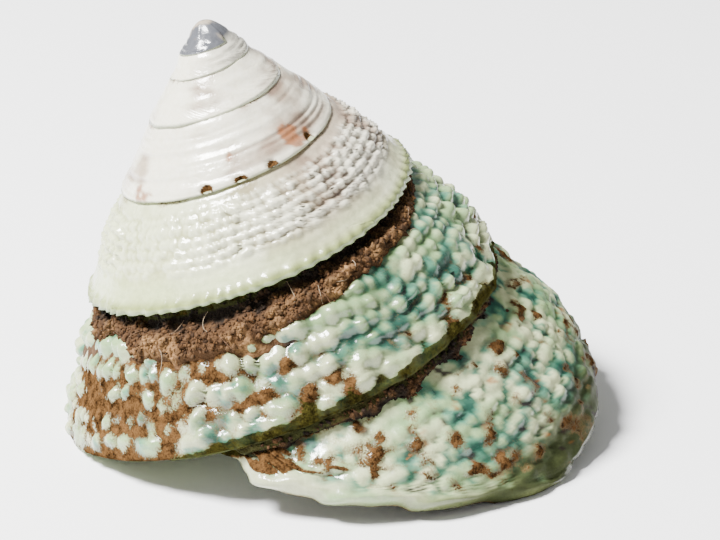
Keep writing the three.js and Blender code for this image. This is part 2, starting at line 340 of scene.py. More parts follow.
def relief_at(turn, along, places):
    """Height above the plain flank in millimetres, and how near each place is to a bead's top."""
    last, middle, upper, spire = styles(turn)
    pitch = value_at(ROW_PITCHES, turn)
    wander = noise(places, 4.5, 11) - 0.5
    row = (1 - along) / pitch + 0.7 * wander
    top = beads(row, bead_count(turn) + 0.8 * (noise(places, 5, 12) - 0.5), 13)
    cord = 0.5 + 0.5 * np.cos(2 * np.pi * (row - 0.5))
    fade = (last * smooth(0.06, 0.2, along) * (1 - 0.75 * smooth(0.8, 0.93, along))
            + middle * smooth(0.1, 0.22, along) * (1 - 0.65 * smooth(0.84, 0.92, along))
            + upper * smooth(0.08, 0.2, along) * (1 - 0.9 * smooth(0.62, 0.76, along))
            + spire * smooth(0.5, 0.8, along))
    worn = 0.55 + 0.9 * noise(places, 5.5, 14)
    clear = 1 - 0.55 * upper * (1 - smooth(0.02, 0.22, (-turn + 0.12) % 1))
    size = 0.35 + 0.65 * scale_at(turn)
    buried = 1 + 0.5 * between(turn, -1.08, -0.98, -0.8, -0.7)
    tall = (0.42 * last * worn + 0.95 * middle * worn * buried + 0.85 * upper * clear + 0.1 * spire) * size
    raised = tall * fade * (0.95 * top + 0.12 * cord - 0.4)

    rim_row = (along - 0.9) / 0.17 + 0.5
    knob = beads(0.5 + 0.62 * (rim_row - 0.5), KNOBS_PER_TURN * turn + 0.5 * wander, 17, 0.16, 0.52)
    knob = np.where((rim_row > -1) & (rim_row < 1.9), knob, 0) * smooth(0.72, 0.84, along)
    frill = 0.5 + 0.5 * np.cos(2 * np.pi * (FRILLS_PER_TURN * turn + 2 * wander))
    frill = frill * smooth(0.86, 0.98, along) * (0.4 + 1.2 * noise(places, 1.6, 59))
    flare_out = smooth(0.7, 0.98, along)
    raised = raised + size * ((0.95 * middle + 0.4 * last) * knob
                              + upper * (0.42 * frill + 0.25 * flare_out)
                              + spire * 0.3 * flare_out * (noise(places, 1.8, 18) - 0.3))
    growth = noise(growth_grain(turn, along), 1, 22) - 0.5
    filled = 0.75 * channel_depth(turn, along) * flank_width(turn) * smooth(-0.03, 0.01, along)
    raised = raised + growth_wave(turn, along) + (upper + spire) * filled
    lump = (1.0 * (noise(places, 6, 19) - 0.5) * (0.9 * last + 0.8 * middle + 0.45 * upper)
            + 0.55 * (noise(places, 1.9, 20) - 0.5) * (last + 0.7 * middle + 0.4 * upper + 0.3 * spire)
            + 0.22 * (noise(places, 0.9, 21) - 0.5) * (last + middle + 0.3 * upper)
            + growth * (0.14 * upper * (1 - smooth(0.6, 0.7, along)) + 0.3 * spire)
            + 0.5 * (noise(places, 2.6, 71) - 0.5) * spire) * smooth(0.0, 0.3, along)
    return raised + lump * size, np.clip(fade * top + (middle + 0.4 * last) * knob, 0, 1)


def patch_field(turn, along, patches):
    """How strongly named patches cover each place, 1 at their middles."""
    radius = rim_at(turn)[0]
    width = flank_width(turn)
    field = np.zeros(np.broadcast(turn, along).shape)
    for patch_turn, patch_along, reach in patches:
        sideways = (turn - patch_turn) * 2 * np.pi * radius
        down = (along - patch_along) * width
        field = np.maximum(field, np.exp(-(sideways ** 2 + down ** 2) / reach ** 2))
    return field


def azimuth_of(turn):
    """Where a turn points, in turns round the shell: 0 in front and below 0 on the left."""
    return (-turn - 0.07 + 0.5) % 1 - 0.5


def seen_in_front(turn):
    """1 where the named patches lie, and 0 on the sides and back, which get scattered ones."""
    return 1 - smooth(0.24, 0.32, np.abs(azimuth_of(turn)))


def left_share(turn):
    """1 on the side that faces left in the photograph, 0 on the right and behind."""
    azimuth = azimuth_of(turn)
    return smooth(0.12, -0.16, azimuth) * smooth(-0.5, -0.4, azimuth)


# Paint

CREAM = (0.46, 0.50, 0.28)
PALE_GREEN = (0.19, 0.31, 0.13)
RIM_GREEN = (0.21, 0.25, 0.075)
SEA_GREEN = (0.055, 0.195, 0.125)
TEAL = (0.008, 0.05, 0.037)
PEARL = (0.40, 0.33, 0.24)
PEARL_ROSE = (0.17, 0.105, 0.075)
PEARL_WHITE = (0.74, 0.71, 0.57)
RUST = (0.22, 0.065, 0.012)
PURPLE = (0.02, 0.009, 0.012)
BASE_GREY = (0.24, 0.27, 0.17)
OLIVE = (0.12, 0.14, 0.05)
# A dark olive, used as painted shade
SHADE_OLIVE = (0.035, 0.042, 0.016)
LIP_CREAM = (0.40, 0.42, 0.25)
NACRE = (0.60, 0.62, 0.56)
TIP_GREY = (0.075, 0.078, 0.088)
SUNLIT_CREAM = (0.414, 0.50, 0.21)
# An olive grey, used as painted shade on the lip's rolled edge
LIP_EDGE_SHADE = (0.168, 0.189, 0.0935)
CRUMB_DARK = (0.010, 0.005, 0.002)
CRUMB_BROWN = (0.062, 0.028, 0.009)
CRUMB_TAN = (0.19, 0.10, 0.038)
SOIL_UNDERSIDE = (0.03, 0.015, 0.01)
HAIR_BROWN = (0.12, 0.06, 0.03)
HAIR_PALE = (0.35, 0.27, 0.18)


def layered(colour, *layers):
    """A colour under layers, each given as its tone and the share of it that shows."""
    for tone, share in layers:
        share = np.clip(share, 0, 1)[..., None]
        colour = (1 - share) * colour + share * tone
    return colour


def flank_paint(turn, along, places, top):
    """The colour of the flank without its dirt."""
    last, middle, upper, spire = styles(turn)
    front = seen_in_front(turn)
    beaded = last + middle
    scattered = smooth(0.48, 0.62, grit(places, 5.5, 24)) * (1 - front)
    green = np.maximum(patch_field(turn, along, GREEN_PATCHES), scattered) * beaded
    green = green + 0.6 * smooth(0.5, 0.62, grit(places, 2.4, 25)) * beaded
    depth = (0.8 * green + 1.8 * (grit(places, 1.5, 23) - 0.5)
             + 0.5 * (noise(places, 0.6, 58) - 0.5) - 0.85 * (top - 0.4))
    colour = layered(CREAM, (PALE_GREEN, 0.85 * smooth(0.35, 0.65, grit(places, 3.2, 22))),
                     (SEA_GREEN, 0.9 * smooth(0.15, 0.55, depth) * beaded),
                     (TEAL, 0.85 * smooth(0.5, 1.0, depth) * beaded))
    # Painted shade: the valleys between the beads are darkened
    groove_shade = (1 - smooth(0.05, 0.6, top)) * (0.85 * middle + 0.75 * last) * smooth(0.1, 0.3, along)
    colour = layered(colour, (0.4 * colour * [0.65, 1.0, 0.85], groove_shade))
    duller = 0.24 * middle * between(turn, -1.19, -1.15, -0.99, -0.95)
    under = last * smooth(0.76, 0.95, along)
    # Painted shade: the lower right front of the last turn, facing down and away from the key light, is
    # darkened to olive
    painted_shade = last * smooth(0.62, 0.8, along) * smooth(-0.08, -0.16, turn) * front
    colour = layered(colour * (1 - duller[..., None]),
                     (PALE_GREEN, 0.6 * beaded * smooth(0.93, 1.0, along)),
                     (OLIVE, (0.35 + 0.6 * smooth(0.3, 0.6, noise(places, 3, 26))) * under),
                     (SHADE_OLIVE, 0.95 * painted_shade * smooth(0.12, 0.42, grit(places, 1.8, 48))))

    # Rose tint: partly the nacre's own pink, partly painted shade off the bead tops and on the spire's right
    # side, away from the key light
    rose_and_shade = smooth(0.35, 0.65, grit(places, 3.0, 27)) * (0.45 + 0.55 * upper * (1 - top))
    rose_and_shade = rose_and_shade + 0.5 * spire * (1 - left_share(turn))
    streak = noise(growth_grain(turn, along), 1, 22)
    # Paler nacre: partly random patches and streaks, partly painted highlight on the bead tops and on the
    # left side, toward the key light
    pale_and_highlight = smooth(0.34, 0.62, grit(places, 3.4, 28) + 0.35 * (top - 0.35) * upper
                 + 0.1 * (streak - 0.5) + 0.12 * left_share(turn))
    # Painted shade: darker rose in the valleys between the beads
    valley_shade = (1 - smooth(0.05, 0.5, top)) * upper * between(along, 0.1, 0.2, 0.62, 0.72)
    band = 0.55 + 0.35 * noise(places, 2.2, 72)
    # The sunlit cream on the left of the upper turn is painted light
    pearl = layered(PEARL, (PEARL_ROSE, 0.75 * rose_and_shade),
                    (PEARL_ROSE, 0.5 * (1 - smooth(0.25, 0.45, streak)) * spire),
                    (PEARL_WHITE, 0.9 * pale_and_highlight), (PEARL_ROSE, 0.75 * valley_shade),
                    (CREAM, band * smooth(0.6, 0.85, along) * upper),
                    (SUNLIT_CREAM, 0.55 * left_share(turn) * upper),
                    (RIM_GREEN, (0.9 * upper + 0.2 * spire) * smooth(0.87, 0.98, along)),
                    (PEARL_WHITE, 0.7 * spire * smooth(0.8, 0.95, along)))

    worn_tip = turn + 0.5 * (grit(places, 1.3, 69) - 0.5)
    dark = patch_field(turn, along, DARK_PATCHES) + 0.8 * smooth(0.64, 0.74, noise(places, 0.9, 29)) * last
    speck = smooth(0.5, 0.8, dark + 1.4 * (noise(places, 0.5, 57) - 0.5)) * (1 - smooth(0.2, 0.7, top))
    rust = patch_field(turn, along, RUST_PATCHES) + 0.5 * smooth(0.74, 0.82, noise(places, 1.1, 30)) * last
    rust = smooth(0.5, 0.8, rust + 1.2 * (grit(places, 0.8, 31) - 0.5))
    return layered(colour, (pearl, upper + spire), (TIP_GREY, smooth(-4.9, -5.7, worn_tip)),
                   (PURPLE, 0.9 * speck * beaded), (RUST, 0.8 * rust))


def apron_soil(step_turn, along, places):
    """Soil washed out of the last seam over the lip, in streaks along the growth lines."""
    inside = between(step_turn, -0.046, -0.034, -0.010, -0.006) * smooth(0.01, 0.05, along)
    lower_edge = np.clip(0.09 - 9 * (step_turn + 0.008), 0.09, 0.3)
    ragged = along + 0.1 * (noise(places, 1.1, 75) - 0.5)
    inside = inside * (1 - smooth(lower_edge - 0.02, lower_edge + 0.02, ragged))
    streaks = noise(flat(step_turn * 520, along * 6), 1, 76)
    return inside * smooth(0.4, 0.6, streaks + 0.25 * (noise(places, 0.8, 78) - 0.3))


def soil_field(turn, along, step_turn, places):
    """How high soil fills the valleys of the flank, in millimetres over the plain flank."""
    last, middle, _, _ = styles(turn)
    scattered = 0.75 * smooth(0.46, 0.6, grit(places, 3.5, 33)) * (1 - seen_in_front(turn))
    patches = np.maximum(patch_field(turn, along, DIRT_PATCHES), scattered) * (last + middle)
    streaks = smooth(0.45, 0.62, noise(flat(step_turn * 90, along * 5), 1, 34))
    streaks = streaks * between(step_turn, -0.085, -0.06, -0.03, -0.02)
    streaks = streaks * between(along, 0.06, 0.12, 0.4, 0.58)
    left = middle * smooth(-1.06, -0.98, turn) * (1 - 0.6 * smooth(-0.88, -0.76, turn))
    left = left * smooth(0.24, 0.36, along)
    specks = 0.8 * last * smooth(0.6, 0.72, noise(places, 1.3, 73)) * smooth(0.1, 0.2, along)
    specks = specks + 0.7 * middle * smooth(0.62, 0.74, noise(places, 1.2, 74)) * smooth(0.6, 0.8, along)
    patches = np.maximum(patches, specks)
    level = -0.75 + np.maximum(np.maximum(patches, 0.5 * streaks), 0.86 * left) + 0.07 * middle
    return level + growth_wave(turn, along) + 0.6 * (grit(places, 1.4, 35) - 0.5)


# The shell's mesh, gathered row by row

class Surface:
    """Points with their paint, dirt and moss, and the faces between them."""

    def __init__(self):
        self.places, self.colours, self.dirt, self.moss, self.faces = [], [], [], [], []
        self.count = 0

    def add(self, places, colour, dirt=0.0, moss=0.0):
        """Add points and return their numbers, in the shape they were given."""
        shape = places.shape[:-1]
        total = int(np.prod(shape))
        self.places.append(places.reshape(-1, 3))
        self.colours.append(np.broadcast_to(colour, (*shape, 3)).reshape(-1, 3))
        self.dirt.append(np.broadcast_to(dirt, shape).reshape(-1))
        self.moss.append(np.broadcast_to(moss, shape).reshape(-1))
        numbers = np.arange(self.count, self.count + total).reshape(shape)
        self.count += total
        return numbers

    def grid(self, numbers):
        """Four-sided faces between the neighbouring rows of a grid of points."""
        corners = [numbers[:-1, :-1], numbers[1:, :-1], numbers[1:, 1:], numbers[:-1, 1:]]
        self.faces.extend(np.stack(corners, axis=-1).reshape(-1, 4).tolist())

    def zip(self, first, second):
        """Triangles between two rows, which may differ in their number of points."""
        i = j = 0
        first_end, second_end = len(first) - 1, len(second) - 1
        while i < first_end or j < second_end:
            corners = [int(first[i]), int(second[j])]
            if (i + 1) / first_end <= (j + 1) / second_end:
                i += 1
                corners.append(int(first[i]))
            else:
                j += 1
                corners.append(int(second[j]))
            self.faces.append(corners)

    def close(self, ring, place, colour):
        centre = int(self.add(np.array([place]), colour)[0])
        for k, number in enumerate(ring):
            self.faces.append([int(number), int(ring[(k + 1) % len(ring)]), centre])

    def mesh(self, name):
        places = np.concatenate(self.places)
        places[:, :2] *= 1 + TIP_SWELL * smooth(-3.6, -0.6, places[:, 2:])
        laid = lay_down(places)
        laid[:, 2] = np.maximum(laid[:, 2], 0.0)
        mesh = bpy.data.meshes.new(name)
        mesh.from_pydata((laid * MM).tolist(), [], self.faces)
        mesh.validate()
        colours = np.concatenate(self.colours)
        paint = mesh.color_attributes.new("paint", "FLOAT_COLOR", "POINT")
        rgba = np.column_stack([np.clip(colours, 0, 1), np.ones(len(colours))])
        paint.data.foreach_set("color", rgba.ravel())
        for label, values in (("dirt", self.dirt), ("moss", self.moss)):
            attribute = mesh.attributes.new(label, "FLOAT", "POINT")
            attribute.data.foreach_set("value", np.concatenate(values))
        mesh.polygons.foreach_set("use_smooth", [True] * len(mesh.polygons))
        return mesh


def lip_lobes(along):
    return np.sin(2 * np.pi * (LIP_EDGE_LOBES * along + 0.4))


def lip_wave(step_turn, along):
    """The lip's edge runs in waves and turns out a little."""
    forward = 0.006 * between(along, 0.02, 0.15, 0.3, 0.5)
    wave = 0.0028 * lip_lobes(along) + 0.0010 * np.sin(2 * np.pi * (9 * along + 0.4))
    return smooth(-0.05, 0, step_turn) * (forward + wave)


def lip_share(step_turn, along, places):
    """1 on the thick lip and 0 behind it, with a ragged border."""
    start = -0.013 - 0.009 * smooth(0.12, 0.25, along) + 0.008 * smooth(0.35, 0.6, along)
    start = start + 0.014 * (grit(places, 2.2, 50) - 0.5)
    return smooth(start - 0.006, start + 0.006, step_turn) * smooth(0.0, 0.08, along)


def moss_at(turn, along, top, seam_line, places):
    """The moss, and the clods of it that hang from the middle turn's rim."""
    last, middle, _, _ = styles(turn)
    beaded = last + middle
    low = 1 - smooth(0.1, 0.5, top)
    span = between(turn, -1.36, -1.26, -1.0, -0.95)
    ragged = along + 0.12 * (grit(places, 1.8, 60) - 0.5)
    rim = 1.5 * smooth(0.91, 0.97, ragged) + 0.9 * smooth(0.68, 0.86, ragged) * low
    moss = span * rim * (1.7 - 1.7 * grit(places, 1.6, 44)) + 0.7 * seam_line * beaded
    moss = np.maximum(moss, 0.22 * beaded * low)
    olive_side = last * smooth(0.55, 0.8, along) * smooth(-0.08, -0.16, turn) * seen_in_front(turn)
    moss = np.maximum(moss, 0.3 * np.maximum(olive_side, last * smooth(-0.17, -0.26, turn)))
    return moss, span * smooth(0.9, 0.97, ragged)


def flank_rows(surface, steps, count):
    """Rows of points from the seam above to the rim, for the given steps."""
    step_turn = ((steps - STEP_COUNT) / STEPS)[:, None]
    share = np.linspace(0, 1, count, endpoint=False)[None, :]
    along = SEAM_ALONG + (1 - SEAM_ALONG) * share
    turn = step_turn + flank_lag(along) + lip_wave(step_turn, along)
    along, step_turn = np.broadcast_to(along, turn.shape), np.broadcast_to(step_turn, turn.shape)
    plain = plain_flank(turn, along)
    last, middle, upper, spire = styles(turn)
    raised, top = relief_at(turn, along, plain)
    lip = lip_share(step_turn, along, plain)
    lumpy = lip_roll(step_turn, along) + 0.25 * raised
    raised = mix(raised, lumpy, lip) * smooth(-0.02, 0.06, along)
    colour = layered(flank_paint(turn, along, plain, top), (lip_paint(step_turn, along, plain), lip))

    # Soil in the valleys, then in the seams and the channel, and on the lip
    soil = soil_field(turn, along, step_turn, plain) * (1 - lip) - lip
    covered = np.clip(0.5 + 0.75 * (soil - raised), 0, 1)
    lifted = soil + 0.35 * (grit(plain, 0.7, 41) - 0.5)
    raised = 0.5 * (raised + lifted + np.sqrt((raised - lifted) ** 2 + 0.01))
    seam_line = 1 - smooth(0.0, 0.07 + 0.05 * noise(plain, 1.5, 42), along)
    worn_line = 0.5 * smooth(0.35, 0.65, noise(plain, 2, 43)) * (upper + spire)
    dirt = np.maximum(covered, seam_line * (0.95 * (last + middle) + worn_line))
    reach = value_at(SOIL_REACH, turn)
    in_channel = smooth(0.0, -0.05, along - reach) * smooth(0.08, 0.14, reach)
    raised = raised - 0.6 * in_channel * smooth(0.0, 0.05, along)
    dirt = np.maximum(dirt, 0.9 * in_channel + 0.35 * (noise(plain, 1.2, 49) - 0.5))
    dirt = np.maximum(dirt, (0.12 * last + 0.2 * middle) * (1 - lip))
    apron = apron_soil(step_turn, along, plain)
    dirt = np.maximum(dirt, apron)
    raised = raised + apron * (0.2 + 0.5 * (grit(plain, 0.7, 77) - 0.4))

    moss, clods = moss_at(turn, along, top, seam_line, plain)
    raised = raised + 0.8 * clods * (grit(plain, 1.1, 66) - 0.4)
    dirt = np.maximum(dirt, clods * (1.7 * grit(plain, 1.6, 67) - 0.3))
    pits = patch_field(turn, along, [(*pit, 0.65) for pit in PITS])
    raised = raised - 0.3 * smooth(0.35, 0.8, pits)
    dirt = np.maximum(dirt, smooth(0.3, 0.7, pits + 0.5 * (noise(plain, 0.6, 68) - 0.5)))
    places = in_space(turn, *flank_point(turn, along, swell(turn, along) + raised / flank_width(turn)))
    return surface.add(places, colour, dirt, moss)


def lip_paint(step_turn, along, places):
    """The lip is cream, mottled with green; painted shade darkens its rolled edge, and it turns olive toward
    the base, partly its own colour and partly painted shade.
    """
    # Painted shade on the rolled edge, and on the lower lip where it faces down
    edge = smooth(-0.009, 0, step_turn) * (0.3 + 0.5 * noise(places, 1.8, 70))
    deep_shade = smooth(0.65, 0.85, along) * smooth(0.15, 0.5, noise(places, 2.5, 56))
    return layered(LIP_CREAM, (PALE_GREEN, 0.75 * smooth(0.4, 0.7, grit(places, 2.6, 55))),
                   (LIP_EDGE_SHADE, edge), (OLIVE, 0.9 * smooth(0.45, 0.75, along)), (SHADE_OLIVE, deep_shade))


def lip_roll(step_turn, along):
    """The thick lip: it swells, runs in lobes and rolls in at its edge."""
    swollen = smooth(-0.032, -0.018, step_turn) * (0.525 + 0.175 * lip_lobes(along))
    rolled = np.clip((step_turn + LIP_ROLL_TURN) / LIP_ROLL_TURN, 0, 1)
    return swollen - LIP_ROLL_DEPTH * (1 - np.sqrt(1 - rolled ** 2))


def under_rows(surface, steps):
    """The rim and its underside, down to the seam of the next turn."""
    step_turn = ((steps - STEP_COUNT) / STEPS)[:, None]
    turn = step_turn - LIP_LAG + lip_wave(step_turn, 1.0)
    share = np.linspace(0, 1, UNDER_POINTS, endpoint=False)[None, :]
    rim_radius, rim_height = rim_at(turn)
    seam_radius, seam_height = seam_at(turn)
    radius = mix(rim_radius, seam_radius, share)
    sag = (0.15 + 0.3 * smooth(-1.8, -1.4, turn)) * scale_at(turn)
    height = mix(rim_height, seam_height, share) - sag * np.sin(np.pi * share)
    turn = np.broadcast_to(turn, radius.shape)
    plain = in_space(turn, radius, height)
    last, middle, upper, _ = styles(turn)
    rim_relief, _ = relief_at(turn, np.full(turn.shape, 0.999), in_space(turn, rim_radius, rim_height))
    lip = smooth(-0.032, -0.02, step_turn)
    rim_relief = mix(rim_relief, lip_roll(step_turn, 1.0), lip)
    uneven = 0.7 * (grit(plain, 1.2, 42) - 0.5) * smooth(0, 0.3, share) * scale_at(turn)
    places = in_space(turn, radius + rim_relief * (1 - share) ** 1.5 + uneven, height)
    # The rim by the lip takes the lip's colours, painted shade included
    rim_tone = lip_paint(step_turn, np.ones(turn.shape), plain)
    colour = layered(BASE_GREY, (CREAM, 0.35 + 0.5 * (1 - share) * smooth(0.3, 0.7, noise(plain, 3, 43))),
                     (PALE_GREEN, 0.5 * upper + 0.3 * middle), (OLIVE, 0.85 * last * (1 - share)),
                     (rim_tone, last * smooth(-0.2, -0.05, step_turn)))
    covered = smooth(-1.0 + LIP_LAG, -1.02 + LIP_LAG, step_turn)
    dirt = covered * (0.45 + 0.6 * share) * (middle + last) + 0.3 * (noise(plain, 1.2, 44) - 0.5)
    moss = covered * (1.3 - 1.1 * noise(plain, 1.5, 47)) * (middle + last)
    edge = between(turn, -1.36, -1.26, -0.95, -0.88) * (1 - smooth(0.2, 0.7, share))
    moss = np.maximum(moss, 1.1 * edge)
    return surface.add(places, colour, dirt, moss)


def base_rows(surface, steps):
    """The base, from the seam under the rim to the columella, without its first points."""
    step_turn = ((steps - STEP_COUNT) / STEPS)[:, None]
    turn = step_turn - LIP_LAG
    share = (np.arange(1, BASE_POINTS + 1) / BASE_POINTS)[None, :]
    radius = mix(seam_at(turn)[0], COLUMELLA_SHARE * rim_at(turn)[0], share)
    height = base_height(turn, radius)
    here = turn - BASE_LAG * share ** 2
    plain = in_space(here, radius, height)
    ridge = 0.5 + 0.5 * np.cos(2 * np.pi * radius / BASE_CORD_PITCH)
    cords = 0.25 * ridge * smooth(-1, -0.9, turn) * (1 - smooth(0.75, 1, share))
    lump = 0.35 * (noise(plain, 4, 51) - 0.5) * smooth(-1, -0.9, turn)
    places = in_space(here, radius, height - cords - lump)
    dash = smooth(0.55, 0.7, noise(plain * [1, 1, 0.5], 1.5, 53)) * ridge ** 2
    colour = layered(BASE_GREY, (CREAM, 0.8 * smooth(0.35, 0.7, grit(plain, 3, 52))),
                     (PALE_GREEN, 0.35 * (1 - ridge)), (PURPLE, 0.35 * dash),
                     (NACRE, smooth(0.82, 0.95, share)),
                     (NACRE, smooth(-0.95, -1.0, turn)))
    dirt = 0.5 * (1 - ridge) + 0.8 * (grit(plain, 2.5, 54) - 0.5)
    dirt = dirt * (1 - smooth(0.7, 0.85, share))
    return surface.add(places, colour, dirt)


def hollow_corner(turn, thickness):
    top_radius = seam_at(turn - 1)[0] - 1.2 * thickness
    bottom_radius = rim_at(turn)[0] - CORNER_SHARE * thickness
    bottom = base_height(turn, bottom_radius) + CORNER_SHARE * thickness
    return top_radius, base_height(turn - 1, top_radius), bottom_radius, bottom


def columella_row(surface, turn, bottom, top):
    """The columella's edge between two points that are there already."""
    lower, upper = (np.concatenate(surface.places)[number] for number in (bottom, top))
    share = np.linspace(0, 1, 8)[1:-1]
    radius = mix(math.hypot(*lower[:2]), math.hypot(*upper[:2]), share)
    here = turn - BASE_LAG - LIP_LAG * (1 - share)
    inner = surface.add(in_space(here, radius, mix(lower[2], upper[2], share)), NACRE)
    return np.concatenate([[bottom], inner, [top]])


def base_row(surface, turn, start, share, rise):
    """A row along a turn's base, from the start's radius to the columella."""
    radius = mix(start, COLUMELLA_SHARE * rim_at(turn)[0], share)
    places = in_space(turn - BASE_LAG * share ** 2, radius, base_height(turn, radius) + rise)
    return surface.add(places, NACRE)


def hollow_sides(surface, turn):
    """The four sides of the coiled tube at a turn behind the lip."""
    thickness = (0.6 + 0.4 * smooth(0, -0.05, turn)) * WALL * scale_at(turn)
    share = np.linspace(0, 1, 13)
    here = turn + flank_lag(share)
    top_radius, top_height, bottom_radius, bottom_height = hollow_corner(here, thickness)
    across, down = bottom_radius - top_radius, bottom_height - top_height
    out = value_at(BELLY_HEIGHTS, here) * np.sin(np.pi * share)
    wall_places = in_space(here, top_radius + across * share - down * out,
                           top_height + down * share + across * out)
    outer_wall = surface.add(wall_places, NACRE)

    share = np.arange(1, 10) / 9
    start = rim_at(turn - LIP_LAG)[0] - CORNER_SHARE * thickness
    rise = thickness * mix(CORNER_SHARE, 1, smooth(0, 0.6, share))
    floor = base_row(surface, turn - LIP_LAG, start, share, rise)
    ceiling = base_row(surface, turn - 1, top_radius[0], share[::-1], 0)
    columella = columella_row(surface, turn, floor[-1], ceiling[0])
    return [outer_wall, np.concatenate([outer_wall[-1:], floor]), columella,
            np.concatenate([ceiling, outer_wall[:1]])]


def add_tip(surface, ring):
    """A round tip over the first turn."""
    starts = np.concatenate(surface.places)[ring]
    previous = np.array([*ring, ring[0]])
    for share in (0.85, 0.7, 0.55, 0.4, 0.27, 0.15, 0.06):
        height = mix(TIP_HEIGHT, starts[:, 2:], share ** 2)
        shrunk = starts[:, :2] * share
        places = np.column_stack([shrunk, height])
        places[:, :2] *= 1 + 0.12 * (noise(places, 0.7, 45) - 0.5)[:, None]
        tone = layered(TIP_GREY, (PEARL, 0.8 * smooth(0.45, 0.6, grit(places, 0.9, 46))))
        row = surface.add(places, tone)
        row = np.array([*row, row[0]])
        surface.grid(np.stack([row, previous]))
        previous = row
    surface.close(list(previous[:-1]), [0, 0, TIP_HEIGHT], TIP_GREY)


def shell_mesh():
    surface = Surface()
    spans = [(0, MIDDLE_FROM, COARSE_POINTS), (MIDDLE_FROM, FINE_FROM, MIDDLE_POINTS),
             (FINE_FROM, len(MARKS), FINE_POINTS)]
    flanks = [flank_rows(surface, MARKS[first:end], count) for first, end, count in spans]
    under = under_rows(surface, MARKS)
    starts = np.concatenate([flank[:, 0] for flank in flanks])

    # A row ends in the seam, which is the start of the row one turn further on
    first_open = STEP_COUNT - STEPS + LAG_STEPS
    open_turn = (MARKS[first_open + 1:] - STEP_COUNT) / STEPS - LIP_LAG
    open_ends = surface.add(in_space(open_turn, *seam_at(open_turn)), BASE_GREY)
    shared = np.searchsorted(MARKS, MARKS[:first_open + 1] + STEPS - LAG_STEPS)
    ends = np.concatenate([starts[shared], open_ends])
    under = np.column_stack([under, ends])
    bands = [np.column_stack([flank, under[first:end]])
             for flank, (first, end, _) in zip(flanks, spans)]
    for band in bands:
        surface.grid(band)
    for band, following in zip(bands, bands[1:]):
        surface.zip(band[-1], following[0])
    add_tip(surface, list(starts[:STEPS - LAG_STEPS + 1][::-1]) + list(bands[0][0][1:-1]))

    base = np.column_stack([ends[first_open:], base_rows(surface, MARKS[first_open:])])
    surface.grid(base)
    columella = columella_row(surface, 0, base[-1, -1], base[0, -1])
    middle_ring = list(base[:, -1]) + list(columella[1:-1])
    surface.close(middle_ring, [0, 0, BASE_LEVEL + 0.6], NACRE)

    sides = [bands[-1][-1], base[-1], columella, base[0][::-1]]
    for k in range(round(HOLLOW_TURNS * HOLLOW_STEPS) + 1):
        following = hollow_sides(surface, -0.012 if k == 0 else -k / HOLLOW_STEPS)
        for side, following_side in zip(sides, following):
            surface.zip(side, following_side)
        sides = following
    end = np.concatenate([side[:-1] for side in sides])[::-1]
    centre = np.concatenate(surface.places)[end].mean(axis=0)
    surface.close(list(end), centre, NACRE)
    return surface.mesh("shell_surface")


# Soil in the channel under the rims

def soil_level(turn, along, places):
    """How high the soil stands over the plain flank, in millimetres."""
    ragged = 0.09 * (grit(places, 2.6, 61) - 0.5) + 0.03 * (noise(places, 0.8, 62) - 0.5)
    reach = value_at(SOIL_REACH, turn) + ragged
    share = np.clip(along, 0, None) / np.clip(reach, 0.02, None)
    wide = smooth(0.1, 0.3, reach)
    recess = 1.5 * smooth(0.6, 0.15, share) * wide
    level = swell(turn, along) * flank_width(turn) * 0.35 * (1 - wide) + 0.22 * wide - recess
    level = level - 2.5 * np.clip(share - 0.85, 0, 2) * mix(0.5, 1, wide)
    crumbs = 1.25 * (grit(places, 1.5, 63) - 0.5) + 0.4 * (noise(places, 0.5, 64) - 0.5)
    hole = patch_field(turn, along, [(*HOLE, 1.15)])
    return level + crumbs * mix(0.45, 1, wide) - 2.0 * smooth(0.2, 0.8, hole)


def soil_tone(places, height):
    """Soil runs from nearly black where it lies low to tan on its crumbs: random tone, with painted shade in
    its hollows and under the rim above.
    """
    # Lower soil is painted darker, as shade
    light = np.clip(grit(places, 1.2, 65) + 0.35 * height, 0, 1)
    return layered(CRUMB_DARK, (CRUMB_BROWN, smooth(0.1, 0.45, light)),
                   (CRUMB_TAN, smooth(0.5, 0.85, light)))


def soil_mesh():
    surface = Surface()
    step_turn = np.linspace(-1.72, -0.012, 1150)[:, None]
    along = np.linspace(-0.04, 0.44, 38)[None, :]
    turn = step_turn + flank_lag(along)
    along = np.broadcast_to(along, turn.shape)
    plain = plain_flank(turn, along)
    flank = swell(turn, along) * flank_width(turn)
    height = np.maximum(soil_level(turn, along, plain), flank - 0.35)
    moss = (1 - smooth(0.0, 0.09, along)) * smooth(-1.3, -1.0, turn)
    tops = surface.add(over_flank(turn, along, height), soil_tone(plain, height), 1.0, moss)
    edges = [0, -1]
    below = over_flank(turn[:, edges], along[:, edges], flank[:, edges] - 0.7)
    floor = surface.add(below, SOIL_UNDERSIDE, 1.0)
    surface.grid(tops)
    surface.grid(floor[:, ::-1])
    surface.grid(np.stack([floor[:, 0], tops[:, 0]], axis=1))
    surface.grid(np.stack([tops[:, -1], floor[:, -1]], axis=1))
    surface.faces.append([*tops[0].tolist(), int(floor[0, 1]), int(floor[0, 0])])
    surface.faces.append([*tops[-1][::-1].tolist(), int(floor[-1, 0]), int(floor[-1, 1])])
    add_crumbs(surface)
    add_fibres(surface)
    return surface.mesh("soil_crumbs")


